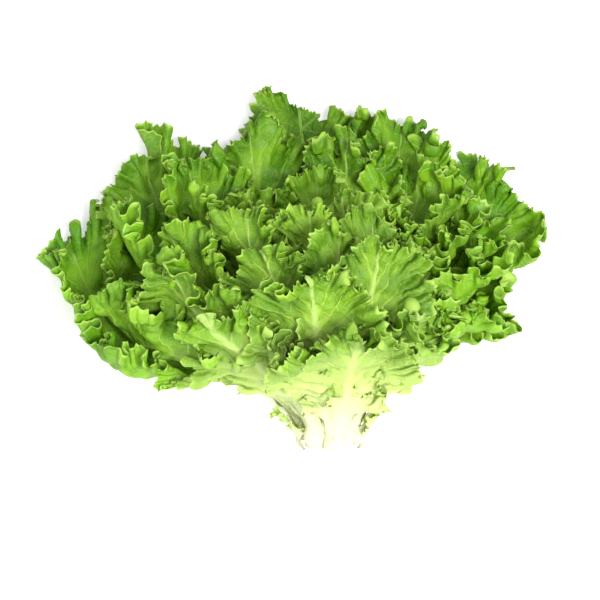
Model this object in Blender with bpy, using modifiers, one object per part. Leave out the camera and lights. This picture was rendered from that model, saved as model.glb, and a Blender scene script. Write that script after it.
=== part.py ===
"""A head of curly leaf lettuce, lying on its side on a table.

Metres, +Z up. The butt points to -Y, the crown to +Y, and the table is the plane Z = 0.

Every leaf lies on one shell of a nested family of surfaces, so that no two leaves can cross.
A point of the head is given by three numbers:
  reach    its distance from the apex, a point on the table a little behind the butt
  shell    0 on the axis of the head, 1 on its outermost surface
  azimuth  its angle round that axis: 0 right, 90 degrees up, 180 left, 270 down on the table
"""

import math

import bmesh
import bpy
import numpy as np
from mathutils import Matrix

HEAD_NAME = "head_of_lettuce"

# The stem: a short cone whose wide end is the cut butt.
STEM_BUTT_RADIUS = 0.0185
STEM_TIP_RADIUS = 0.0030
STEM_LENGTH = 0.046
STEM_CHAMFER = 0.0012
APEX_TO_BUTT = 0.050
STEM_SIDES = 40

# How far the head opens, as angles from its axis at the crown, in radians.
OPEN_LEFT = math.radians(56)
OPEN_RIGHT = math.radians(38)
OPEN_UP = math.radians(38)
OPEN_DOWN = math.radians(12)
# The sides of the head flop down: the share of their height that they lose.
SIDE_SAG = 0.5
FLARE_START = 0.060
BEND_START = 0.096
BEND_END = 0.200
FLARE_END = 0.178
# Towards the tips the sides close in again by this share.
CLOSING = 0.15
CLOSED_AT = 0.290
ROUND_POWER = 2.0
FLAT_POWER = 2.5

# The leaves, counted from the outermost inwards.
LEAF_COUNT = 42
GOLDEN_ANGLE = math.radians(137.508)
FIRST_AZIMUTH = math.radians(300)
CROWDED_ABOVE = 0.28
INNERMOST_SHELL = 0.15
SHELL_POWER = 0.92
CLEARANCE = 0.0006
LEAF_GAP = 0.0010
LAMINA_THICKNESS = 0.0008
RIB_THICKNESS = 0.0030
RIB_HALF_WIDTH = 0.0105
HEART_RIB_HALF_WIDTH = 0.0060

# The reach of the leaf tips from the apex, and how it changes for leaves at the sides of the head.
# The uppermost leaves are short and the ones on the table long.
TIP_REACH = 0.264
TIP_MORE_LEFT = 0.002
TIP_MORE_DOWN = 0.040
TIP_LESS_UP = 0.098
TIP_LESS_RIGHT = 0.052
UP_POWER = 1.7
HEART_SHORTER = 0.26
OUTER_HALF_WIDTH = 0.070
TOP_HALF_WIDTH = 0.050
HEART_HALF_WIDTH = 0.016
SIZE_SPREAD = 0.05

# Two small leaves at the very base, outside all the others: one on the right, one on the left.
BASAL_AZIMUTHS = (math.radians(14), math.radians(158))
BASAL_SHELL = 1.07
BASAL_LENGTH = 0.036
BASAL_HALF_WIDTH = 0.013

# The outline of a leaf, as shares of its length.
BLADE_STARTS = 0.16
BLADE_FULL = 0.66
TIP_STARTS = 0.60
TIP_POWER = 2.4
TIP_SHARE = 0.22
MOST_WRAP = math.radians(95)

ROWS = 14
FEWEST_COLUMNS = 7
COLUMN_WRAP = math.radians(19)
RUFFLE_ROWS = 2.6
RUFFLE_SHARE = 0.15
THICKNESS_SHARE = 0.20
# A leaf that wraps further than each of these angles meets the leaf this many places inwards.
NEIGHBOURS = (3, 2, 1)
NEIGHBOUR_WRAPS = (math.radians(8), math.radians(17), math.radians(36))
SEED = 3853

LEAF_GREEN = (0.16, 0.40, 0.035, 1.0)
HEART_GREEN = (0.42, 0.62, 0.10, 1.0)
STEM_CREAM = (0.82, 0.80, 0.62, 1.0)


def ease(x):
    x = np.clip(x, 0.0, 1.0)
    return x * x * (3.0 - 2.0 * x)


def mix(a, b, share):
    return a + (b - a) * share


def stem_radius(height):
    return mix(STEM_BUTT_RADIUS, STEM_TIP_RADIUS, height / STEM_LENGTH)


def shell_angle_at(height):
    """The angle from the axis at which a leaf clears the stem at this height above the butt."""
    room = CLEARANCE + LAMINA_THICKNESS / 2
    return np.arctan2(stem_radius(height) + room, APEX_TO_BUTT + height)


STEM_OPEN = float(shell_angle_at(0.0015))


def head_point(reach, shell, azimuth):
    """The place of a point of the head. The angles at the stem are those of a round cone."""
    flare = ease((reach - FLARE_START) / (FLARE_END - FLARE_START))
    bend = ease((reach - BEND_START) / (BEND_END - BEND_START))
    c, s = np.cos(azimuth), np.sin(azimuth)
    closing = 1.0 - CLOSING * ease((reach - FLARE_END) / (CLOSED_AT - FLARE_END))
    side = mix(STEM_OPEN, closing * np.where(c < 0, OPEN_LEFT, OPEN_RIGHT), flare)
    tilt = mix(STEM_OPEN, OPEN_DOWN, bend)
    rise = np.where(s < 0, tilt, mix(STEM_OPEN, OPEN_UP, flare))
    power = np.where(s < 0, mix(ROUND_POWER, FLAT_POWER, flare), ROUND_POWER)
    lift = tilt + shell * rise * np.sign(s) * np.abs(s) ** (2.0 / power)
    turn = shell * side * np.sign(c) * np.abs(c) ** (2.0 / power) / np.cos(lift)
    lift = lift * (1.0 - SIDE_SAG * bend * np.minimum(np.abs(turn / side), 1.0) ** 2)
    place = [
        np.sin(turn) * np.cos(lift),
        np.cos(turn) * np.cos(lift),
        np.sin(lift),
    ]
    return np.stack([reach * p for p in place], axis=-1)


def shell_metric(reach, shell, azimuth):
    """Metres moved for one unit of shell."""
    step = 0.01
    moved = head_point(reach, shell + step, azimuth) - head_point(reach, shell - step, azimuth)
    return np.linalg.norm(moved, axis=-1) / (2 * step)


def outline(along):
    """The half width of a leaf at a share of its length, as 0 at the rib's width and 1 at the blade's."""
    return ease((along - BLADE_STARTS) / (BLADE_FULL - BLADE_STARTS))


def tip_rounding(along):
    past = np.clip((along - TIP_STARTS) / (1.0 - TIP_STARTS), 0.0, 1.0)
    return np.maximum((1.0 - past**TIP_POWER) ** (1.0 / TIP_POWER), TIP_SHARE)


def azimuths_across(reach, shell, azimuth, offsets):
    """The azimuths that lie at these signed distances from the leaf's midline, measured on its shell."""
    steps = np.linspace(-MOST_WRAP, MOST_WRAP, 161)
    points = head_point(reach, shell, azimuth + steps)
    lengths = np.linalg.norm(np.diff(points, axis=0), axis=1)
    run = np.concatenate([[0.0], np.cumsum(lengths)])
    run -= np.interp(0.0, steps, run)
    room = min(1.0, run[-1] / offsets[-1], run[0] / offsets[0])
    return azimuth + np.interp(offsets * room, run, steps)


def leaf_plans():
    """The shell, azimuth, base, tip, width and name of each leaf, from the outermost to the heart."""
    rng = np.random.default_rng(SEED)
    heights = np.linspace(0.0, STEM_LENGTH, 200)
    angles = shell_angle_at(heights) / STEM_OPEN
    plans = []
    for i in range(LEAF_COUNT + max(NEIGHBOURS)):
        share = i / (LEAF_COUNT - 1)
        shell = 1.0 - (1.0 - INNERMOST_SHELL) * share**SHELL_POWER
        azimuth = FIRST_AZIMUTH + i * GOLDEN_ANGLE
        azimuth += CROWDED_ABOVE * math.cos(azimuth)
        height = float(np.interp(-shell, -angles, heights))
        start = (APEX_TO_BUTT + height) / math.cos(shell * STEM_OPEN)
        size = 1.0 + SIZE_SPREAD * rng.uniform(-1.0, 1.0)
        up = float(ease((math.sin(azimuth) + 0.15) / 0.75))
        down = max(-math.sin(azimuth), 0.0)
        left = max(-math.cos(azimuth), 0.0)
        right = max(math.cos(azimuth), 0.0)
        reach = TIP_REACH + shell * (TIP_MORE_LEFT * left + TIP_MORE_DOWN * down)
        reach -= shell * TIP_LESS_RIGHT * right + TIP_LESS_UP * up * shell**UP_POWER
        widest = mix(OUTER_HALF_WIDTH, TOP_HALF_WIDTH, up)
        plans.append(
            {
                "shell": shell,
                "azimuth": azimuth,
                "base": start + LEAF_GAP,
                "tip": reach * size * (1.0 - HEART_SHORTER * (1.0 - shell) ** 2),
                "half_width": mix(HEART_HALF_WIDTH, widest, shell**0.7) * size,
                "rib": mix(HEART_RIB_HALF_WIDTH, RIB_HALF_WIDTH, shell),
                "phase": rng.uniform(0.0, 2.0 * math.pi),
            }
        )
    for i, plan in enumerate(plans[:LEAF_COUNT]):
        plan["gaps"] = [plan["shell"] - plans[i + n]["shell"] for n in NEIGHBOURS]
    plans = plans[:LEAF_COUNT]
    for i, plan in enumerate(plans):
        kind = "outer_leaf" if i < 14 else "inner_leaf" if i < 30 else "heart_leaf"
        plan["name"] = f"{kind}_{i + 1:02d}"
    return plans + basal_plans()


def basal_plans():
    plans = []
    for i, azimuth in enumerate(BASAL_AZIMUTHS):
        plans.append(
            {
                "name": f"basal_leaf_{i + 1:02d}",
                "shell": BASAL_SHELL,
                "azimuth": azimuth,
                "base": APEX_TO_BUTT / math.cos(STEM_OPEN) + LEAF_GAP,
                "tip": APEX_TO_BUTT / math.cos(STEM_OPEN) + BASAL_LENGTH,
                "half_width": BASAL_HALF_WIDTH,
                "rib": BASAL_HALF_WIDTH * 0.4,
                "phase": 0.0,
                "gaps": [BASAL_SHELL - 1.0] * len(NEIGHBOURS),
            }
        )
    return plans


def columns_for(plan):
    """The more a leaf wraps round the head, the more columns it takes to follow its shell."""
    wraps = []
    for along in (0.4, 0.7):
        reach = mix(plan["base"], plan["tip"], along)
        half = mix(plan["rib"], plan["half_width"], float(outline(along)))
        turns = azimuths_across(reach, plan["shell"], plan["azimuth"], np.array([-half, half]))
        wraps.append(float(np.abs(turns - plan["azimuth"]).max()))
    return max(FEWEST_COLUMNS, 2 * math.ceil(max(wraps) / COLUMN_WRAP) + 1)


def leaf_faces(plan):
    """The two faces of a leaf as grids of points, the inner one first."""
    rows, columns = ROWS, columns_for(plan)
    inner = np.zeros((rows, columns, 3))
    outer = np.zeros((rows, columns, 3))
    across = np.linspace(-1.0, 1.0, columns)
    for row in range(rows):
        along = row / (rows - 1)
        reach = mix(plan["base"], plan["tip"], along)
        half = mix(plan["rib"], plan["half_width"], float(outline(along))) * float(tip_rounding(along))
        turns = azimuths_across(reach, plan["shell"], plan["azimuth"], across * half)
        wrap = float(np.abs(turns - plan["azimuth"]).max())
        room = float(np.interp(wrap, NEIGHBOUR_WRAPS, plan["gaps"]))
        wave = math.sin(2 * math.pi * row / RUFFLE_ROWS + plan["phase"])
        ruffle = RUFFLE_SHARE * room * wave * ease(along * 1.6) * np.abs(across) ** 2
        shell = plan["shell"] - np.abs(ruffle)
        metric = shell_metric(reach, shell, turns)
        rib = np.exp(-((across * half / plan["rib"]) ** 2)) * (1.0 - along) ** 1.5
        thickness = mix(LAMINA_THICKNESS, RIB_THICKNESS, rib)
        half_shell = np.minimum(thickness / 2 / metric, THICKNESS_SHARE * room)
        inner[row] = head_point(reach, shell - half_shell, turns)
        outer[row] = head_point(reach, shell + half_shell, turns)
    return inner, outer


def closed_slab(name, inner, outer):
    """One closed mesh between two grids of points."""
    rows, columns, _ = inner.shape
    mesh = bmesh.new()
    low = [[mesh.verts.new(p) for p in row] for row in inner]
    high = [[mesh.verts.new(p) for p in row] for row in outer]
    for r in range(rows - 1):
        for c in range(columns - 1):
            mesh.faces.new((low[r][c], low[r][c + 1], low[r + 1][c + 1], low[r + 1][c]))
            mesh.faces.new((high[r][c], high[r + 1][c], high[r + 1][c + 1], high[r][c + 1]))
    rim = [(0, c) for c in range(columns)]
    rim += [(r, columns - 1) for r in range(1, rows)]
    rim += [(rows - 1, c) for c in range(columns - 2, -1, -1)]
    rim += [(r, 0) for r in range(rows - 2, 0, -1)]
    for (r0, c0), (r1, c1) in zip(rim, rim[1:] + rim[:1]):
        mesh.faces.new((low[r0][c0], high[r0][c0], high[r1][c1], low[r1][c1]))
    bmesh.ops.recalc_face_normals(mesh, faces=mesh.faces)
    if mesh.calc_volume(signed=True) < 0:
        bmesh.ops.reverse_faces(mesh, faces=mesh.faces)
    data = bpy.data.meshes.new(name)
    mesh.to_mesh(data)
    mesh.free()
    data.shade_smooth()
    return bpy.data.objects.new(name, data)


def make_leaf(plan):
    return closed_slab(plan["name"], *leaf_faces(plan))


def make_stem():
    """The stem, turned about its own axis, with the cut butt at its lower end."""
    profile = [
        (0.0, STEM_LENGTH),
        (STEM_TIP_RADIUS * 0.7, STEM_LENGTH),
        (STEM_TIP_RADIUS, STEM_LENGTH - STEM_CHAMFER),
        (stem_radius(STEM_LENGTH / 2), STEM_LENGTH / 2),
        (stem_radius(STEM_CHAMFER), STEM_CHAMFER),
        (STEM_BUTT_RADIUS - STEM_CHAMFER, 0.0),
        (0.0, 0.0),
    ]
    data = bpy.data.meshes.new("stem")
    data.from_pydata([(x, 0.0, z) for x, z in profile], [(i, i + 1) for i in range(len(profile) - 1)], [])
    stem = bpy.data.objects.new("stem", data)
    turned = stem.modifiers.new("turned", "SCREW")
    turned.steps = turned.render_steps = STEM_SIDES
    turned.use_merge_vertices = True
    turned.merge_threshold = 0.00005
    turned.use_smooth_shade = True
    axis = Matrix.Rotation(STEM_OPEN - math.pi / 2, 4, "X")
    stem.matrix_world = axis @ Matrix.Translation((0.0, 0.0, APEX_TO_BUTT))
    return stem


def plain_material(name, colour, roughness):
    made = bpy.data.materials.new(name)
    made.use_nodes = True
    shader = made.node_tree.nodes["Principled BSDF"]
    shader.inputs["Base Color"].default_value = colour
    shader.inputs["Roughness"].default_value = roughness
    shader.inputs["Metallic"].default_value = 0.0
    return made


def centre_on_base(objects):
    """Moves everything so that the origin is the middle of the bottom of the head's box."""
    bpy.context.view_layer.update()
    graph = bpy.context.evaluated_depsgraph_get()
    corners = []
    for obj in objects:
        shown = obj.evaluated_get(graph)
        corners += [shown.matrix_world @ v.co for v in shown.data.vertices]
    corners = np.array(corners)
    low, high = corners.min(0), corners.max(0)
    shift = Matrix.Translation((-(low[0] + high[0]) / 2, -(low[1] + high[1]) / 2, -low[2]))
    for obj in objects:
        obj.matrix_world = shift @ obj.matrix_world


def main():
    for obj in list(bpy.data.objects):
        bpy.data.objects.remove(obj)
    head = bpy.data.collections.new(HEAD_NAME)
    bpy.context.scene.collection.children.link(head)
    stem = make_stem()
    stem.data.materials.append(plain_material("stem", STEM_CREAM, 0.5))
    objects = [stem]
    for plan in leaf_plans():
        leaf = make_leaf(plan)
        colour = tuple(mix(np.array(HEART_GREEN), np.array(LEAF_GREEN), plan["shell"]))
        leaf.data.materials.append(plain_material(plan["name"], colour, 0.45))
        objects.append(leaf)
    for obj in objects:
        head.objects.link(obj)
    centre_on_base(objects)


main()
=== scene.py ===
"""A head of curly leaf lettuce lying on a table, dressed for its picture."""

import math

import bpy
import numpy as np
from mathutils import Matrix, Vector


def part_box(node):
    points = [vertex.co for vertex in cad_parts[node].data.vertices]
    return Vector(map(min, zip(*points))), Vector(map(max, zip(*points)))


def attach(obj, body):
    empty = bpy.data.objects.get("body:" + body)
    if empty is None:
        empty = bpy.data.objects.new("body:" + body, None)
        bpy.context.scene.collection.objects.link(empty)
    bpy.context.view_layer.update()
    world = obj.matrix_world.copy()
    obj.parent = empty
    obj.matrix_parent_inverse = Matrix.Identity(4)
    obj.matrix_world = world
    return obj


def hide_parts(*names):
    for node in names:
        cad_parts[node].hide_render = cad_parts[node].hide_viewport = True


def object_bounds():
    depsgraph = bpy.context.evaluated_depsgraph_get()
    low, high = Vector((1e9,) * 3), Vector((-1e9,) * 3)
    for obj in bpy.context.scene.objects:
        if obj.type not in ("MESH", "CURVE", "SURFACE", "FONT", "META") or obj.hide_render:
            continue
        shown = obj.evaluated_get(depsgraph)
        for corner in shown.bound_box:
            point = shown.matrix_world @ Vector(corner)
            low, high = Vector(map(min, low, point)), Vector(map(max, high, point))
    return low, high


# The head, as in its solids, in metres.
STEM_BUTT_RADIUS = 0.0185
STEM_TIP_RADIUS = 0.0030
STEM_LENGTH = 0.046
CHAMFER = 0.0012
APEX_TO_BUTT = 0.050
CLEARANCE = 0.0006
LEAF_GAP = 0.0010
LAMINA_THICKNESS = 0.0008
OPEN_LEFT = math.radians(56)
OPEN_RIGHT = math.radians(38)
OPEN_UP = math.radians(38)
OPEN_DOWN = math.radians(12)
SIDE_SAG = 0.5
FLARE_START = 0.060
BEND_START = 0.096
BEND_END = 0.200
FLARE_END = 0.178
# Towards the tips the sides close in again by this share.
CLOSING = 0.15
CLOSED_AT = 0.290
ROUND_POWER = 2.0
FLAT_POWER = 2.5
OUTER_COUNT = 14
INNER_COUNT = 16
HEART_COUNT = 12
LEAF_COUNT = OUTER_COUNT + INNER_COUNT + HEART_COUNT
CROWDED_ABOVE = 0.28
GOLDEN_ANGLE = math.radians(137.508)
FIRST_AZIMUTH = math.radians(300)
INNERMOST_SHELL = 0.15
SHELL_POWER = 0.92
TIP_REACH = 0.264
TIP_MORE_LEFT = 0.002
TIP_MORE_DOWN = 0.040
TIP_LESS_UP = 0.098
TIP_LESS_RIGHT = 0.052
UP_POWER = 1.7
HEART_SHORTER = 0.26
OUTER_HALF_WIDTH = 0.070
TOP_HALF_WIDTH = 0.050
HEART_HALF_WIDTH = 0.016
SIZE_SPREAD = 0.05
BASAL_AZIMUTHS = (math.radians(14), math.radians(158))
BASAL_SHELL = 1.07
BASAL_LENGTH = 0.036
BASAL_HALF_WIDTH = 0.013
SEED = 3853

# The blades. Each is a grid of points: samples along the margin by samples along a vein.
MARGIN_SAMPLES = 1400
VEIN_SAMPLES = 22
# Up to this vein sample, near the midrib, the faces skip to every so many margin samples.
FINE_FROM = 10
COARSE = 4
RIB_WIDTH = 0.0085
RIB_HEIGHT = 0.0034
BLADE_THICKNESS = 0.00038
BLISTER_HEIGHT = 0.0011
TEETH = 250
TOOTH_DEPTH = 0.0024
# A flat leaf's outline: its width at the base, as a share of its widest, where along its length
# it starts to widen and to narrow, over how much of it, and how round its tip is.
BASE_WIDTH = 0.15
WIDENS_FROM, WIDENS_OVER = 0.12, 0.52
NARROWS_FROM, NARROWS_OVER = 0.56, 0.44
TIP_POWER = 2.3
# The last side vein starts this far along the midrib, and the veins bow by this share.
LAST_VEIN = 0.86
VEIN_BOW = 0.10
# Each ruffle of the margin: beats to a wave of the leaf, height, the share of it on the smallest
# leaf, where on the vein it starts, how far it folds over, the power it grows by, and its lean.
RUFFLES = (
    (1.0, 0.0110, 0.35, 0.18, 0.10, 1.6, 0.8),
    (3.4, 0.0062, 0.50, 0.38, 0.26, 1.4, 0.5),
    (9.0, 0.0032, 0.70, 0.58, 0.30, 1.3, 0.0),
    (19.0, 0.0011, 0.70, 0.74, 0.22, 1.2, 0.0),
)
# The basal leaves are frilled by this share, with this many waves and teeth.
BASAL_FADE, BASAL_WAVES, BASAL_TEETH = 0.4, 2.5, 40
# How far the normals lean on the direction from shell to shell.
GUIDE_SHARE = 0.35
# The table that lays a leaf round its shell: reaches by offsets, to this far either side.
TURN_ROWS = 40
TURN_COLUMNS = 181
TURN_SPAN = 0.11
MOST_WRAP = math.radians(150)
# The frills may stand this far out of the box of the solids.
PROUD = 0.012
# The blades' middles stay this far off the table.
TABLE_GAP = 0.0024
# In its materials' flat coordinates, a leaf's outer face lies this far along x from the inner one.
OUTER_FACE_SHIFT = 0.3

# Colours: deep, light, and how far up the leaf it stays pale.
LEAF_COLOURS = {
    "outer_leaf": ((0.070, 0.22, 0.004), (0.18, 0.39, 0.010), 0.088),
    "inner_leaf": ((0.075, 0.23, 0.004), (0.19, 0.40, 0.012), 0.088),
    "heart_leaf": ((0.11, 0.28, 0.006), (0.24, 0.46, 0.020), 0.090),
    "basal_leaf": ((0.42, 0.64, 0.05), (0.52, 0.70, 0.09), 0.050),
}
# Leaves differ at random in brightness by this share. Those at the sides are painted lighter, a
# painted light, and those above and below a little darker, a painted shade.
TONE_SPREAD = 0.13
MIDDLE_PAINTED_LIGHT, SIDE_PAINTED_LIGHT = 0.97, 1.30
PALE_INSIDE = (0.34, 0.60, 0.04, 1)
PALE_OUTSIDE = (0.46, 0.68, 0.09, 1)
OUTSIDE_TINT = (0.38, 0.60, 0.07, 1)
MARGIN_TINT = (0.45, 0.67, 0.11, 1)
LIME = (0.62, 0.77, 0.22, 1)
MIDRIB_TINT = (0.60, 0.76, 0.25, 1)
CREAM = (0.82, 0.81, 0.59, 1)
CUT_TAN = (0.74, 0.50, 0.34, 1)
THROUGH_LIGHT = (1.0, 1.0, 0.45, 1)

CAMERA_LENS = 85
CAMERA_ELEVATION = math.radians(77)
CAMERA_DISTANCE = 0.955
CAMERA_TARGET = (0.006, -0.027, 0.045)


def ease(x):
    x = np.clip(x, 0.0, 1.0)
    return x * x * (3.0 - 2.0 * x)


def mix(a, b, share):
    return a + (b - a) * share


# The family of shells.
def stem_radius(height):
    return mix(STEM_BUTT_RADIUS, STEM_TIP_RADIUS, height / STEM_LENGTH)


def shell_angle_at(height):
    room = CLEARANCE + LAMINA_THICKNESS / 2
    return np.arctan2(stem_radius(height) + room, APEX_TO_BUTT + height)


# The angle of the outermost shell where it leaves the stem.
STEM_OPEN = float(shell_angle_at(0.0015))


def head_point(reach, shell, azimuth):
    """The place of a point of the head, from the apex."""
    flare = ease((reach - FLARE_START) / (FLARE_END - FLARE_START))
    bend = ease((reach - BEND_START) / (BEND_END - BEND_START))
    c, s = np.cos(azimuth), np.sin(azimuth)
    closing = 1.0 - CLOSING * ease((reach - FLARE_END) / (CLOSED_AT - FLARE_END))
    side = mix(STEM_OPEN, closing * np.where(c < 0, OPEN_LEFT, OPEN_RIGHT), flare)
    tilt = mix(STEM_OPEN, OPEN_DOWN, bend)
    rise = np.where(s < 0, tilt, mix(STEM_OPEN, OPEN_UP, flare))
    power = np.where(s < 0, mix(ROUND_POWER, FLAT_POWER, flare), ROUND_POWER)
    lift = tilt + shell * rise * np.sign(s) * np.abs(s) ** (2.0 / power)
    turn = shell * side * np.sign(c) * np.abs(c) ** (2.0 / power) / np.cos(lift)
    lift = lift * (1.0 - SIDE_SAG * bend * np.minimum(np.abs(turn / side), 1.0) ** 2)
    place = [np.sin(turn) * np.cos(lift), np.cos(turn) * np.cos(lift), np.sin(lift)]
    return np.stack([reach * p for p in place], axis=-1)


def azimuth_table(plan, reaches, offsets):
    """For each reach, the azimuths at these signed distances from the leaf's midline."""
    steps = np.linspace(-MOST_WRAP, MOST_WRAP, 241)
    rows = []
    for reach in reaches:
        points = head_point(reach, plan["shell"], plan["azimuth"] + steps)
        lengths = np.linalg.norm(np.diff(points, axis=0), axis=1)
        run = np.concatenate([[0.0], np.cumsum(lengths)])
        run -= np.interp(0.0, steps, run)
        rows.append(np.interp(offsets, run, steps))
    return np.array(rows)


def lookup(table, row, column):
    """Bilinear reading of a table at fractional rows and columns."""
    row = np.clip(row, 0, table.shape[0] - 1.001)
    column = np.clip(column, 0, table.shape[1] - 1.001)
    r, c = row.astype(int), column.astype(int)
    fr, fc = row - r, column - c
    low = table[r, c] * (1 - fc) + table[r, c + 1] * fc
    high = table[r + 1, c] * (1 - fc) + table[r + 1, c + 1] * fc
    return low * (1 - fr) + high * fr


def leaf_plans():
    """The same leaves as the solids, from the outermost to the heart, then the basal ones."""
    rng = np.random.default_rng(SEED)
    heights = np.linspace(0.0, STEM_LENGTH, 200)
    angles = shell_angle_at(heights) / STEM_OPEN
    plans = []
    for i in range(LEAF_COUNT):
        share = i / (LEAF_COUNT - 1)
        shell = 1.0 - (1.0 - INNERMOST_SHELL) * share**SHELL_POWER
        azimuth = FIRST_AZIMUTH + i * GOLDEN_ANGLE
        azimuth += CROWDED_ABOVE * math.cos(azimuth)
        height = float(np.interp(-shell, -angles, heights))
        start = (APEX_TO_BUTT + height) / math.cos(shell * STEM_OPEN)
        size = 1.0 + SIZE_SPREAD * rng.uniform(-1.0, 1.0)
        up = float(ease((math.sin(azimuth) + 0.15) / 0.75))
        down = max(-math.sin(azimuth), 0.0)
        left = max(-math.cos(azimuth), 0.0)
        right = max(math.cos(azimuth), 0.0)
        reach = TIP_REACH + shell * (TIP_MORE_LEFT * left + TIP_MORE_DOWN * down)
        reach -= shell * TIP_LESS_RIGHT * right + TIP_LESS_UP * up * shell**UP_POWER
        widest = mix(OUTER_HALF_WIDTH, TOP_HALF_WIDTH, up)
        # The solids draw one more number for each leaf.
        rng.uniform()
        inner = i < OUTER_COUNT + INNER_COUNT
        kind = "outer_leaf" if i < OUTER_COUNT else "inner_leaf" if inner else "heart_leaf"
        plans.append(
            {
                "name": f"{kind}_{i + 1:02d}",
                "slot": kind,
                "seed": i,
                "shell": shell,
                "azimuth": azimuth,
                "up": up,
                "base": start + LEAF_GAP,
                "tip": reach * size * (1.0 - HEART_SHORTER * (1.0 - shell) ** 2),
                "half_width": mix(HEART_HALF_WIDTH, widest, shell**0.7) * size,
            }
        )
    for i, azimuth in enumerate(BASAL_AZIMUTHS):
        start = APEX_TO_BUTT / math.cos(STEM_OPEN)
        plans.append(
            {
                "name": f"basal_leaf_{i + 1:02d}",
                "slot": "basal_leaf",
                "seed": 50 + i,
                "shell": BASAL_SHELL,
                "azimuth": azimuth,
                "up": 0.0,
                "base": start + LEAF_GAP,
                "tip": start + BASAL_LENGTH,
                "half_width": BASAL_HALF_WIDTH,
            }
        )
    return plans


# The ruffles.
def wander(rng, along, beats):
    """A smooth random curve between -1 and 1 with about that many beats along 0 to 1."""
    knots = rng.uniform(-1.0, 1.0, int(beats) + 4)
    x = np.clip(along, 0, 1) * beats + 1.0
    i = x.astype(int)
    f = ease(x - i)
    return knots[i] * (1 - f) + knots[i + 1] * f


def unit(vectors):
    return vectors / (np.linalg.norm(vectors, axis=-1, keepdims=True) + 1e-12)


def grid_normals(points, flat):
    """The normals of a grid of points, all on one side of the leaf.

    They are long where the lines of the grid cross squarely.
    """
    flat_along, flat_out = np.gradient(flat, axis=(0, 1))
    along, out = np.gradient(points, axis=(0, 1))
    turned = flat_along[..., 0] * flat_out[..., 1] - flat_along[..., 1] * flat_out[..., 0]
    turned = np.sign(turned) * np.sign(turned.sum())
    return np.cross(unit(along), unit(out)) * turned[..., None]


def grid_frames(points, flat, guide):
    """Unit vectors of a grid of points: along the margin, along the veins, and off the blade.

    Where the lines of the grid run together, the normals lean on the guide.
    """
    off = grid_normals(points, flat)
    for step in (1, 2, 4):
        off = (off + np.roll(off, step, axis=0) + np.roll(off, -step, axis=0)) / 3
    off = unit(off + GUIDE_SHARE * guide)
    along = unit(np.gradient(points, axis=0))
    return along, unit(np.cross(off, along)), off


def ruffle(points, sides, rng, s, v, fade, waves, height, start, fold, power, lean):
    """Buckles the blade: waves along the margin that grow from the start on the vein to it."""
    along, _, off = grid_frames(points, *sides)
    phase = 2 * math.pi * (waves * s + 0.55 * wander(rng, s, max(waves * 0.5, 2)))
    phase = phase[:, None] + lean * (1 - v)[None, :]
    swell = 1.0 + 0.42 * wander(rng, s, max(waves * 0.6, 3))
    grow = np.clip((v - start) / (1 - start), 0, 1) ** power
    amount = height * (fade * swell)[:, None] * grow[None, :]
    points = points + off * (amount * np.sin(phase))[..., None]
    return points - along * (fold * amount * np.sin(2 * phase))[..., None]


def serrate(points, sides, rng, s, v, fade, teeth, depth):
    """Cuts small pointed teeth into the margin."""
    _, out, _ = grid_frames(points, *sides)
    t = (teeth * s + 0.8 * wander(rng, s, teeth * 0.3)) % 1.0
    tooth = (1 - np.abs(2 * t - 1)) ** 1.3 * (1 + 0.6 * wander(rng, s, teeth * 0.7))
    grow = np.clip((v - 0.80) / 0.20, 0, 1) ** 1.6
    amount = depth * (tooth - 0.4)[:, None] * grow[None, :] * fade[:, None]
    return points + out * amount[..., None]


def blister(points, sides, rng, v, height):
    """Raises the blade in soft crossing waves, 8 to 20 mm long."""
    flat = sides[0]
    _, _, off = grid_frames(points, *sides)
    bumps = np.zeros(flat.shape[:2])
    for _ in range(10):
        angle, size = rng.uniform(0, math.pi), rng.uniform(0.008, 0.020)
        way = np.array([math.cos(angle), math.sin(angle)]) * 2 * math.pi / size
        bumps += np.sin(flat @ way + rng.uniform(0, 2 * math.pi))
    bumps = bumps / 3.2 * height * ease(v / 0.25)[None, :]
    return points + off * bumps[..., None]


def blade_outline(plan, rng, s):
    """The margin of a flat leaf, x across and y along, and where on y each vein starts."""
    length = (plan["tip"] - plan["base"]) * plan["stretch"]
    t = np.linspace(0, 1, 400)
    wide = mix(BASE_WIDTH, 1.0, ease((t - WIDENS_FROM) / WIDENS_OVER)) * plan["half_width"]
    narrowed = np.clip((t - NARROWS_FROM) / NARROWS_OVER, 0, 1)
    wide *= (1 - narrowed**TIP_POWER) ** (1 / TIP_POWER)
    wide[0] = plan["rib"]
    side = np.stack([wide, t * length], axis=1)
    lengths = np.linalg.norm(np.diff(side, axis=0), axis=1)
    run = np.concatenate([[0], np.cumsum(lengths)])
    run /= run[-1]
    up = 1 - np.abs(2 * s - 1)
    x = np.interp(up, run, side[:, 0]) * np.where(s < 0.5, -1, 1)
    y = np.interp(up, run, side[:, 1])
    lobes = 0.96 + 0.08 * wander(rng, s, 15) + 0.09 * wander(rng, s, 40)
    centre = 0.45 * length
    grown = ease(y / (0.3 * length))
    x = x * mix(1.0, lobes, grown)
    y = y + (lobes - 1) * grown * (y - centre)
    origin = LAST_VEIN * length * (up**1.25)
    return x, y, origin


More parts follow.
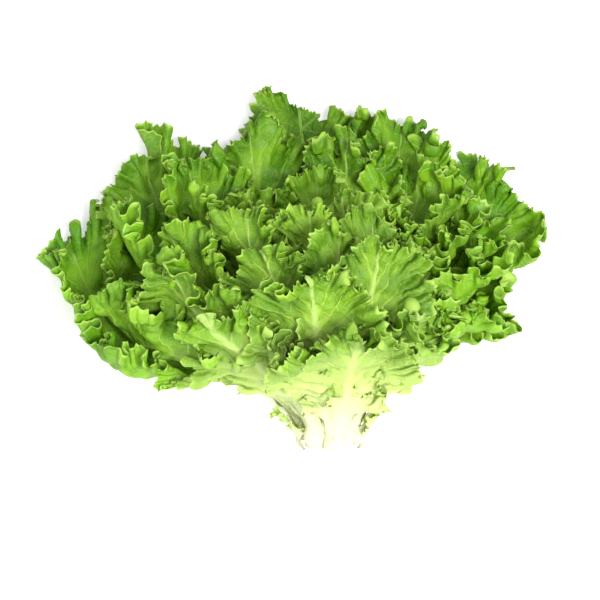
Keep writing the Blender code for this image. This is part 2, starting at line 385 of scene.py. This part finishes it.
def blade_points(plan, rng, s, v):
    """The leaf before thickness, as a grid of points: margin samples by vein samples."""
    x_margin, y_margin, origin = blade_outline(plan, rng, s)
    bow = (v * (1 - v))[None, :] * VEIN_BOW
    x = x_margin[:, None] * v[None, :]
    y = origin[:, None] + (y_margin - origin)[:, None] * v[None, :]
    y = y - bow * np.abs(x_margin)[:, None]
    flat = np.stack([x, y], axis=-1)
    reaches = np.linspace(plan["base"], plan["tip"] * 1.12, TURN_ROWS)
    offsets = np.linspace(-TURN_SPAN, TURN_SPAN, TURN_COLUMNS)
    table = azimuth_table(plan, reaches, offsets)
    reach = plan["base"] + y
    row = (reach - reaches[0]) / (reaches[-1] - reaches[0]) * (TURN_ROWS - 1)
    column = (x - offsets[0]) / (offsets[-1] - offsets[0]) * (TURN_COLUMNS - 1)
    azimuth = plan["azimuth"] + lookup(table, row, column)
    share = y / (plan["tip"] - plan["base"])
    curl = plan["curl"] * ease((share - 0.45) / 0.55) ** 2
    curl = curl + plan["lap"] * ease((v - 0.5) / 0.5)[None, :] ** 2 * ease(share / 0.4)
    # About how far apart two shells are here, for a step of one from shell to shell.
    spread = np.maximum(reach * 0.7, 0.03)
    points = head_point(reach, plan["shell"] + curl / spread, azimuth)
    guide = head_point(reach, plan["shell"] + 0.02, azimuth)
    guide = unit(guide - head_point(reach, plan["shell"], azimuth))
    if (grid_normals(points, flat) * guide).sum() < 0:
        guide = -guide
    return points, flat, guide


def leaf_surface(plan):
    """The ruffled leaf before thickness, and its flat map, guide, margin and vein samples."""
    rng = np.random.default_rng(1000 + plan["seed"])
    size = plan["half_width"] / OUTER_HALF_WIDTH
    basal = plan["slot"] == "basal_leaf"
    samples = int(MARGIN_SAMPLES * (0.35 if basal else mix(0.6, 1.0, min(size, 1.0))))
    samples = samples // (2 * COARSE) * 2 * COARSE + 1
    s = np.linspace(0, 1, samples)
    v = 1 - (1 - np.linspace(0, 1, VEIN_SAMPLES)) ** 1.5
    points, flat, guide = blade_points(plan, rng, s, v)
    sides = flat, guide
    share = flat[:, -1, 1] / (plan["tip"] - plan["base"])
    fade = mix(0.02, 1.0, ease((share - 0.13) / 0.36))
    points = blister(points, sides, rng, v, BLISTER_HEIGHT)
    if basal:
        fade, waves, teeth = BASAL_FADE * fade, BASAL_WAVES, BASAL_TEETH
    else:
        waves, teeth = mix(5, 8, min(size, 1)), TEETH * mix(0.55, 1, size)
        narrow = np.abs(flat[:, -1, 0]) / plan["half_width"] + share
        fade = fade * ease((narrow - 0.30) / 0.60)
    for beats, height, least, *shape in RUFFLES:
        height = height * mix(least, 1, size)
        points = ruffle(points, sides, rng, s, v, fade, waves * beats, height, *shape)
    points = serrate(points, sides, rng, s, v, fade, teeth, TOOTH_DEPTH)
    return points, flat, guide, s, v


def soft_positive(x, soft):
    """Near x where x is well above zero, and a little above zero where it is not."""
    return 0.5 * (x + np.sqrt(x * x + soft * soft))


def keep_off_table(points, floor, soft=0.0025):
    points[..., 2] = floor + soft_positive(points[..., 2] - floor, soft)
    return points


def keep_near_solids(points, shift, box, soft=0.008):
    """Presses back the frills that stand too far out of the box, above it and on its sides."""
    low, high = box
    for axis in (0, 1, 2):
        most = high[axis] - shift[axis] + PROUD
        points[..., axis] = most - soft_positive(most - points[..., axis], soft)
        if axis < 2:
            least = low[axis] - shift[axis] - PROUD
            points[..., axis] = least + soft_positive(points[..., axis] - least, soft)
    return points


def blade_normals(plan, points, flat, guide):
    """The blade's normals, away from the stem, and whether they had to be turned for that."""
    rows, columns = points.shape[:2]
    half = rows // 2
    _, _, off = grid_frames(points, flat, guide)
    # The two sides of the midrib share their normals.
    off[:, 0] = off[:, 1]
    off[:half, 0] += off[rows - half :, 0][::-1]
    off[:half, 0] /= np.linalg.norm(off[:half, 0], axis=-1, keepdims=True)
    off[rows - half :, 0] = off[:half, 0][::-1]
    middle = np.array(0.15)
    outward = head_point(middle, plan["shell"] + 0.05, plan["azimuth"])
    outward = outward - head_point(middle, plan["shell"], plan["azimuth"])
    inside_out = (off[:, columns // 2] @ outward).sum() < 0
    return -off if inside_out else off, inside_out


def rib_height(plan, flat):
    """How far the midrib stands out of the blade."""
    left = np.clip(1 - flat[..., 1] / (plan["tip"] - plan["base"]), 0, 1)
    half_width = plan["rib"] * left**0.8 + 0.0006
    rib = np.clip(1 - (flat[..., 0] / half_width) ** 2, 0, 1) ** 0.7
    return rib * RIB_HEIGHT * plan["rib"] / RIB_WIDTH * (left**1.1 + 0.06)


def thick_leaf(plan, shift, box):
    """The leaf's mesh: two faces and a rim, with its coordinates kept for the materials."""
    points, flat, guide, s, v = leaf_surface(plan)
    points = keep_near_solids(points, shift, box)
    points = keep_off_table(points, -shift.z + TABLE_GAP)
    rows, columns = points.shape[:2]
    half = rows // 2
    points[rows - half :, 0] = points[:half, 0][::-1]
    off, inside_out = blade_normals(plan, points, flat, guide)
    rib = rib_height(plan, flat)
    # The midrib stands out most on the leaf's outer face.
    inner = points - off * (BLADE_THICKNESS / 2 + 0.15 * rib)[..., None]
    outer = points + off * (BLADE_THICKNESS / 2 + rib)[..., None]
    vertices = np.concatenate([inner.reshape(-1, 3), outer.reshape(-1, 3)]) + np.array(shift)
    faces, rim_start = leaf_faces(rows, columns)
    if not inside_out:
        faces = faces[:, ::-1]
    # The rim takes no room on the bake map: its corners lie on the margin of the inner face.
    corners = faces.copy()
    corners[rim_start:] %= rows * columns
    return leaf_object(plan, vertices, faces, flat, s, v, bake_map(flat)[corners.ravel()])


def bake_map(flat):
    """The leaf laid flat on the unit square: inner face on the left, outer face on the right."""
    low, size = flat.min(axis=(0, 1)), np.ptp(flat, axis=(0, 1))
    inner = (flat.reshape(-1, 2) - low) / size * (0.47, 0.98) + 0.01
    return np.concatenate([inner, inner + (0.51, 0.0)])


def leaf_faces(rows, columns):
    """The triangles of the inner face, the outer face and the rim, and where the rim starts."""
    half, total = rows // 2, rows * columns
    index = np.arange(total).reshape(rows, columns)
    index[rows - half :, 0] = index[:half, 0][::-1]
    sheet = sheet_faces(index)
    rim = [index[:, -1], index[0, ::-1], index[-1, :]]
    edges = np.concatenate([np.stack([e[:-1], e[1:]], axis=1) for e in rim])
    near, far = edges[:, 0], edges[:, 1]
    walls = (near, far, far + total), (near, far + total, near + total)
    walls = np.concatenate([np.stack(wall, axis=1) for wall in walls])
    return np.concatenate([sheet, sheet[:, ::-1] + total, walls]), 2 * len(sheet)


def sheet_faces(index):
    """The triangles of one face: fine near the margin, coarse near the midrib."""
    coarse, fine = index[::COARSE, : FINE_FROM + 1], index[:, FINE_FROM + 1 :]
    parts = []
    for grid in (coarse, fine):
        a, b = grid[:-1, :-1].ravel(), grid[1:, :-1].ravel()
        c, d = grid[1:, 1:].ravel(), grid[:-1, 1:].ravel()
        parts += [np.stack([a, b, c], axis=1), np.stack([a, c, d], axis=1)]
    start, end = coarse[:-1, -1], coarse[1:, -1]
    step = [fine[k : len(fine) - COARSE + k : COARSE, 0] for k in range(COARSE + 1)]
    middle = COARSE // 2
    parts += [np.stack([start, step[k + 1], step[k]], axis=1) for k in range(middle)]
    parts += [np.stack([end, step[k + 1], step[k]], axis=1) for k in range(middle, COARSE)]
    parts.append(np.stack([start, end, step[middle]], axis=1))
    faces = np.concatenate(parts)
    a, b, c = faces.T
    return faces[(a != b) & (b != c) & (a != c)]


def leaf_object(plan, vertices, faces, flat, s, v, corner_map):
    """The blade as an object, without the points that no face uses."""
    used = np.zeros(len(vertices), bool)
    used[faces.ravel()] = True
    faces = (np.cumsum(used) - 1)[faces]
    vertices = vertices[used]
    mesh = bpy.data.meshes.new(plan["name"] + "_blade")
    mesh.vertices.add(len(vertices))
    mesh.vertices.foreach_set("co", vertices.astype(np.float32).ravel())
    mesh.loops.add(faces.size)
    mesh.loops.foreach_set("vertex_index", faces.astype(np.int32).ravel())
    mesh.polygons.add(len(faces))
    mesh.polygons.foreach_set("loop_start", np.arange(0, faces.size, 3, dtype=np.int32))
    mesh.polygons.foreach_set("loop_total", np.full(len(faces), 3, dtype=np.int32))
    mesh.update(calc_edges=True)
    mesh.shade_smooth()
    layer = mesh.uv_layers.new(name="OFBake")
    layer.uv.foreach_set("vector", corner_map.astype(np.float32).ravel())
    grid = flat.shape[:2]
    inner = np.stack([flat[..., 0], flat[..., 1], np.zeros(grid)], -1).reshape(-1, 3)
    outer = inner + np.array([OUTER_FACE_SHIFT, 0.0, 0.0])
    keep_vector(mesh, "flat", np.concatenate([inner, outer])[used])
    out = np.broadcast_to(v[None, :], grid)
    along = flat[..., 1] + plan["base"] - APEX_TO_BUTT
    round_margin = np.broadcast_to(s[:, None], grid)
    place = np.stack([out, along, round_margin], -1).reshape(-1, 3)
    keep_vector(mesh, "place", np.concatenate([place, place])[used])
    blade = bpy.data.objects.new(plan["name"] + "_blade", mesh)
    bpy.context.scene.collection.objects.link(blade)
    return blade


def keep_vector(mesh, name, values):
    layer = mesh.attributes.new(name, "FLOAT_VECTOR", "POINT")
    layer.data.foreach_set("vector", values.astype(np.float32).ravel())


def row_shift():
    """From the apex of the shells to the row frame, found from the stem's box."""
    low, high = (Vector(p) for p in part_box("stem"))
    c, s = math.cos(STEM_OPEN), math.sin(STEM_OPEN)
    # The two rings of the butt, as distance from the apex and radius.
    rings = (
        (APEX_TO_BUTT, STEM_BUTT_RADIUS - CHAMFER),
        (APEX_TO_BUTT + CHAMFER, stem_radius(CHAMFER)),
    )
    nearest = min(along * c - radius * s for along, radius in rings)
    lowest = min(along * s - radius * c for along, radius in rings)
    return Vector(((low.x + high.x) / 2, low.y - nearest, low.z - lowest))


# Materials.
class Nodes:
    """A new material, and short ways to build its node tree."""

    def __init__(self, name):
        self.material = bpy.data.materials.new(name)
        self.material.use_nodes = True
        self.tree = self.material.node_tree
        self.shader = self.tree.nodes["Principled BSDF"]
        self.end = self.tree.nodes["Material Output"]

    def add(self, kind, **inputs):
        """A new node. Names that start with _ are its settings, and the others its sockets."""
        node = self.tree.nodes.new(kind)
        for key, value in inputs.items():
            if key.startswith("_"):
                setattr(node, key[1:], value)
            else:
                self.put(node.inputs[key.replace("_", " ")], value)
        return node

    def put(self, socket, value):
        """Sets a socket, or links another node's socket to it."""
        if isinstance(value, bpy.types.NodeSocket):
            self.tree.links.new(value, socket)
        else:
            socket.default_value = value

    def math(self, operation, a, b=0.0):
        node = self.tree.nodes.new("ShaderNodeMath")
        node.operation = operation
        self.put(node.inputs[0], a)
        self.put(node.inputs[1], b)
        return node.outputs[0]

    def span(self, value, low, high, to_low=0.0, to_high=1.0):
        """A smooth step between two values, as another value goes from low to high."""
        node = self.tree.nodes.new("ShaderNodeMapRange")
        node.interpolation_type = "SMOOTHSTEP"
        keys = "Value", "From Min", "From Max", "To Min", "To Max"
        for key, x in zip(keys, (value, low, high, to_low, to_high)):
            self.put(node.inputs[key], x)
        return node.outputs[0]

    def blend(self, share, a, b, kind="MIX"):
        node = self.tree.nodes.new("ShaderNodeMix")
        node.data_type = "RGBA"
        node.blend_type = kind
        self.put(node.inputs[0], share)
        self.put(node.inputs[6], a)
        self.put(node.inputs[7], b)
        return node.outputs[2]


def leaf_material(name, deep, light, pale_until, seed):
    """Satin green, paler along its veins and margin, fading to cream at the base."""
    n = Nodes(name)
    flat = n.add("ShaderNodeAttribute", _attribute_name="flat").outputs["Vector"]
    place = n.add("ShaderNodeAttribute", _attribute_name="place").outputs["Vector"]
    out, along, round_margin = n.add("ShaderNodeSeparateXYZ", Vector=place).outputs
    across = n.add("ShaderNodeSeparateXYZ", Vector=flat).outputs[0]
    outer_side = n.math("GREATER_THAN", across, OUTER_FACE_SHIFT / 2)
    moved = n.add("ShaderNodeVectorMath", _operation="ADD")
    n.put(moved.inputs[0], flat)
    n.put(moved.inputs[1], (seed * 0.7, seed * 1.3, 0.0))
    flat = moved.outputs[0]
    cloud = n.add("ShaderNodeTexNoise", Vector=flat, Scale=42.0, Detail=3.0).outputs[0]
    fine = n.add("ShaderNodeTexNoise", Vector=flat, Scale=420.0, Detail=4.0).outputs[0]
    small = n.add("ShaderNodeTexVoronoi", _feature="DISTANCE_TO_EDGE", Vector=flat, Scale=420.0)
    net = n.span(small.outputs["Distance"], 0.0, 0.13, 1.0, 0.0)
    broad = n.add("ShaderNodeTexVoronoi", _feature="DISTANCE_TO_EDGE", Vector=flat, Scale=120.0)
    veins = n.span(broad.outputs["Distance"], 0.0, 0.07, 1.0, 0.0)
    ribs = side_ribs(n, round_margin, out, cloud)
    body = n.blend(n.span(cloud, 0.36, 0.66), deep, light)
    pale = n.blend(outer_side, PALE_INSIDE, PALE_OUTSIDE)
    margin = n.span(n.math("ADD", out, n.math("MULTIPLY", fine, 0.02)), 0.978, 1.004)
    for mask, share, colour in (
        (outer_side, 0.14, OUTSIDE_TINT),
        (net, 0.16, pale),
        (veins, 0.18, pale),
        (ribs, 0.46, pale),
        (margin, 0.75, MARGIN_TINT),
    ):
        body = n.blend(n.math("MULTIPLY", mask, share), body, colour)
    reach = n.math("ADD", along, n.math("MULTIPLY", cloud, 0.018))
    reach = n.math("ADD", reach, n.math("MULTIPLY", out, 0.010))
    lime = n.span(reach, pale_until * 0.60, pale_until + 0.050)
    body = n.blend(lime, LIME, body)
    off_rib = n.math("SUBTRACT", across, n.math("MULTIPLY", outer_side, OUTER_FACE_SHIFT))
    rib_width = n.span(along, 0.03, 0.17, 0.0050, 0.0006)
    midrib = n.span(n.math("DIVIDE", n.math("ABSOLUTE", off_rib), rib_width), 0.30, 1.2, 0.55, 0.0)
    midrib = n.math("MULTIPLY", midrib, n.span(along, 0.09, 0.19, 1.0, 0.5))
    body = n.blend(midrib, body, MIDRIB_TINT)
    cream = n.span(reach, 0.020, pale_until * 0.95)
    body = n.blend(cream, CREAM, body)
    cut = n.span(n.math("ADD", along, n.math("MULTIPLY", cloud, 0.004)), 0.003, 0.007, 0.45, 0.0)
    body = n.blend(cut, body, CUT_TAN)
    n.put(n.shader.inputs["Base Color"], body)
    rough = n.math("ADD", n.math("MULTIPLY", outer_side, 0.10), n.math("MULTIPLY", fine, 0.24))
    n.put(n.shader.inputs["Roughness"], n.math("ADD", rough, 0.28))
    n.shader.inputs["Specular IOR Level"].default_value = 0.32
    relief = n.math("MULTIPLY", cloud, 0.5)
    for ridge, depth in ((ribs, 0.55), (veins, 0.35), (net, 0.12)):
        relief = n.math("SUBTRACT", relief, n.math("MULTIPLY", ridge, depth))
    # What is a groove inside the leaf is a ridge outside.
    side = n.math("SUBTRACT", 1.0, n.math("MULTIPLY", outer_side, 2.0))
    relief = n.math("MULTIPLY", relief, side)
    bump = n.add("ShaderNodeBump", Strength=0.7, Distance=0.0011, Height=relief)
    n.put(n.shader.inputs["Normal"], bump.outputs[0])
    through = n.blend(1.0, body, THROUGH_LIGHT, "MULTIPLY")
    thin = n.add("ShaderNodeBsdfTranslucent", Color=through)
    n.put(thin.inputs["Normal"], bump.outputs[0])
    mixed = n.add("ShaderNodeMixShader", Fac=0.24)
    n.put(mixed.inputs[1], n.shader.outputs[0])
    n.put(mixed.inputs[2], thin.outputs[0])
    n.put(n.end.inputs["Surface"], mixed.outputs[0])
    return n.material


def side_ribs(n, round_margin, out, cloud):
    """Pale side veins that fan from the midrib to the margin, thinner as they go."""
    beat = n.math("ADD", n.math("MULTIPLY", round_margin, 26.0), n.math("MULTIPLY", cloud, 1.1))
    off_middle = n.math("ABSOLUTE", n.math("SUBTRACT", n.math("FRACT", beat), 0.5))
    distance = n.math("MULTIPLY", off_middle, n.math("MULTIPLY", out, 0.017))
    width = n.span(out, 0.1, 0.95, 0.0013, 0.0003)
    share = n.math("DIVIDE", distance, width)
    return n.span(share, 0.25, 1.0, 1.0, 0.0)


def stem_material():
    n = Nodes("stem_flesh")
    place = n.add("ShaderNodeTexCoord").outputs["Object"]
    cloud = n.add("ShaderNodeTexNoise", Vector=place, Scale=90.0, Detail=5.0).outputs[0]
    grain = n.add("ShaderNodeTexNoise", Vector=place, Scale=600.0, Detail=3.0).outputs[0]
    colour = n.blend(n.span(cloud, 0.4, 0.7), (0.86, 0.84, 0.68, 1), (0.80, 0.66, 0.48, 1))
    n.put(n.shader.inputs["Base Color"], colour)
    n.put(n.shader.inputs["Roughness"], n.span(grain, 0.3, 0.7, 0.35, 0.6))
    bump = n.add("ShaderNodeBump", Strength=0.4, Distance=0.0006, Height=grain)
    n.put(n.shader.inputs["Normal"], bump.outputs[0])
    n.shader.inputs["Subsurface Weight"].default_value = 0.2
    n.shader.inputs["Subsurface Radius"].default_value = (0.004, 0.003, 0.001)
    n.shader.inputs["Subsurface Scale"].default_value = 1.0
    return n.material


def table_material():
    n = Nodes("table_white")
    place = n.add("ShaderNodeTexCoord").outputs["Object"]
    grain = n.add("ShaderNodeTexNoise", Vector=place, Scale=30.0, Detail=3.0).outputs[0]
    white = n.blend(grain, (0.90, 0.90, 0.90, 1), (0.92, 0.92, 0.92, 1))
    n.put(n.shader.inputs["Base Color"], white)
    n.shader.inputs["Roughness"].default_value = 0.7
    n.shader.inputs["Emission Color"].default_value = (1, 1, 1, 1)
    n.shader.inputs["Emission Strength"].default_value = 0.22
    return n.material


def area_light(name, place, size, power):
    """A round light that faces the origin."""
    data = bpy.data.lights.new(name, "AREA")
    data.shape = "DISK"
    data.size = size
    data.energy = power
    light = bpy.data.objects.new(name, data)
    bpy.context.scene.collection.objects.link(light)
    light.location = place
    light.rotation_euler = (-Vector(place)).to_track_quat("-Z", "Y").to_euler()


def set_stage():
    bpy.ops.mesh.primitive_plane_add(size=20.0, location=(0, 0, -0.0005))
    floor = bpy.context.object
    floor.name = "table"
    floor.data.materials.append(table_material())
    world = bpy.data.worlds.new("studio")
    bpy.context.scene.world = world
    world.use_nodes = True
    background = world.node_tree.nodes["Background"]
    background.inputs["Color"].default_value = (1, 1, 1, 1)
    background.inputs["Strength"].default_value = 0.72
    area_light("key", (0.55, -0.50, 1.20), size=0.7, power=25)
    area_light("fill", (-0.7, -0.7, 1.0), size=1.2, power=7)
    bpy.context.scene.view_settings.view_transform = "Standard"


def set_camera():
    data = bpy.data.cameras.new("camera")
    camera = bpy.data.objects.new("camera", data)
    bpy.context.scene.collection.objects.link(camera)
    bpy.context.scene.camera = camera
    data.lens = CAMERA_LENS
    data.clip_start, data.clip_end = 0.01, 20
    back = Vector((0.0, -math.cos(CAMERA_ELEVATION), math.sin(CAMERA_ELEVATION)))
    camera.location = Vector(CAMERA_TARGET) + back * CAMERA_DISTANCE
    camera.rotation_euler = (-back).to_track_quat("-Z", "Y").to_euler()


def make_leaves(box):
    """Each leaf of the solids gives way to its blade."""
    shift = row_shift()
    for plan in leaf_plans():
        rng = np.random.default_rng(500 + plan["seed"])
        down = -math.sin(plan["azimuth"])
        # The leaves underneath lie flatter, on the table.
        loose = 1.0 if down < 0.3 else 0.25
        plan["rib"] = mix(0.0050, RIB_WIDTH, plan["shell"])
        plan["stretch"] = mix(1.0, 1.045, max(down, 0.0))
        plan["curl"] = rng.uniform(0.004, 0.016) * loose * mix(1.0, 0.25, plan["up"])
        plan["lap"] = rng.uniform(-0.003, 0.007) * loose
        if plan["slot"] == "basal_leaf":
            plan["rib"], plan["curl"], plan["lap"] = 0.004, 0.003, 0.0
        blade = thick_leaf(plan, shift, box)
        tone_and_painted_light = 1 + TONE_SPREAD * rng.uniform(-1, 1)
        # Painted light and shade: by azimuth, leaves at the sides are lightened and those above
        # and below are darkened.
        tone_and_painted_light *= mix(MIDDLE_PAINTED_LIGHT, SIDE_PAINTED_LIGHT, math.cos(plan["azimuth"]) ** 2)
        *greens, pale_until = LEAF_COLOURS[plan["slot"]]
        deep, light = (tuple(c * tone_and_painted_light for c in green) + (1,) for green in greens)
        skin = leaf_material(plan["name"] + "_skin", deep, light, pale_until, plan["seed"] + 1)
        blade.data.materials.append(skin)
        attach(blade, "root")
        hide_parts(plan["name"])


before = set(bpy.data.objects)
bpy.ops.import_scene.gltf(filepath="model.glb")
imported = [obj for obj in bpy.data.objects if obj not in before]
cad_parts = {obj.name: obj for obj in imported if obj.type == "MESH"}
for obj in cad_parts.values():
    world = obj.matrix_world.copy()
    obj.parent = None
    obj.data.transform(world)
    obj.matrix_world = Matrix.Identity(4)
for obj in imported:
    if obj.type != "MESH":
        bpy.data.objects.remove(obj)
cad_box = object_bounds()
set_stage()
set_camera()
make_leaves(cad_box)
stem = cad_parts["stem"]
stem.data.materials.clear()
stem.data.materials.append(stem_material())
